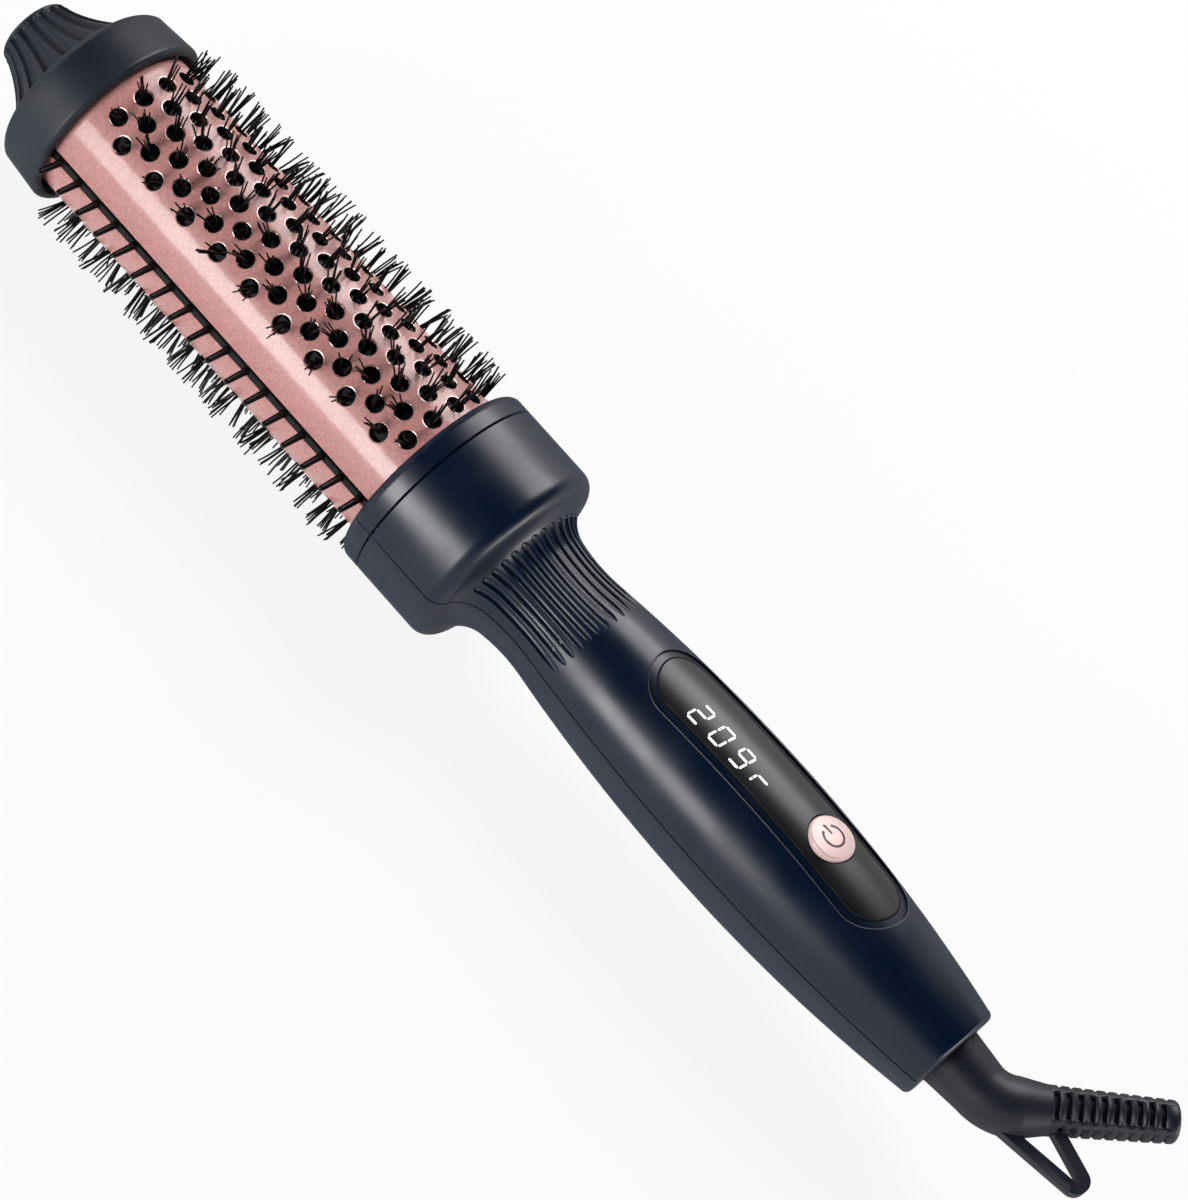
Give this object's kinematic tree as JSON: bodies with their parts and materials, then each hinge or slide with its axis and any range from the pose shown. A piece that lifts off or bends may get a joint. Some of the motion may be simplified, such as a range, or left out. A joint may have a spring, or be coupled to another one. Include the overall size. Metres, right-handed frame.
{
  "type": "heated styling brush",
  "caption": "Round heated hair brush: perforated metal barrel with bristle and comb strips, fluted cool tip, waisted handle with display and button, swivelling cord elbow with hanging loop.",
  "frame": {"origin": "centre of the flat end of the cool tip", "axes": "+X along the brush axis from the tip towards the cord, +Z out of the display panel, +Y to the side that the rest pose of the cord elbow leans to"},
  "size_m": [0.3287, 0.053, 0.0522],
  "materials": {
    "shell": "satin navy black, fine grain",
    "rose_barrel": "satin rose metallic",
    "bristle": "dark filament",
    "comb": "satin black",
    "inner_plastic": "plain",
    "heat_metal": "extruded",
    "ceramic": "ceramic",
    "film": "insulating film",
    "lead": "sleeved wire",
    "panel": "satin smoked",
    "board": "laminate",
    "button_metal": "pale rose, spun",
    "steel": "plated",
    "contact": "plain",
    "rubber": "matte, grainy"
  },
  "bodies": {
    "brush": {"upper_shell": "shell", "lower_shell": "shell", "shell_screws": "steel", "barrel_sleeve": "rose_barrel", "top_bristle_strips": "bristle", "bottom_bristle_strips": "bristle", "top_bristle_carrier": "inner_plastic", "bottom_bristle_carrier": "inner_plastic", "near_comb_strip": "comb", "far_comb_strip": "comb", "end_cap": "shell", "cap_screws": "steel", "front_hub": "inner_plastic", "rear_hub": "inner_plastic", "upper_heat_spreader": "heat_metal", "lower_heat_spreader": "heat_metal", "ptc_heater": "ceramic", "heater_insulation": "film", "thermal_fuse": "heat_metal", "temperature_sensor": "ceramic", "heater_leads": "lead", "display_panel": "panel", "display_module": "panel", "main_board": "board", "board_screws": "steel", "tact_switch": "inner_plastic", "swivel_bushing": "comb", "contact_carrier": "inner_plastic", "live_contact": "contact", "neutral_contact": "contact", "power_leads": "lead"},
    "power_button": {"power_button": "button_metal"},
    "cord_swivel": {"swivel_elbow": "rubber", "cord_boot": "rubber", "live_slip_ring": "contact", "neutral_slip_ring": "contact"}
  },
  "joints": [
    {"name": "power_press", "type": "slide", "parent": "brush", "child": "power_button", "axis": [0, 0, -1], "range_m": [0, 0.0005], "stiffness_N_per_m": 800},
    {"name": "cord_turn", "type": "hinge", "parent": "brush", "child": "cord_swivel", "pos_m": [0.2865, 0, 0], "axis": [1, 0, 0], "continuous": true}
  ]
}
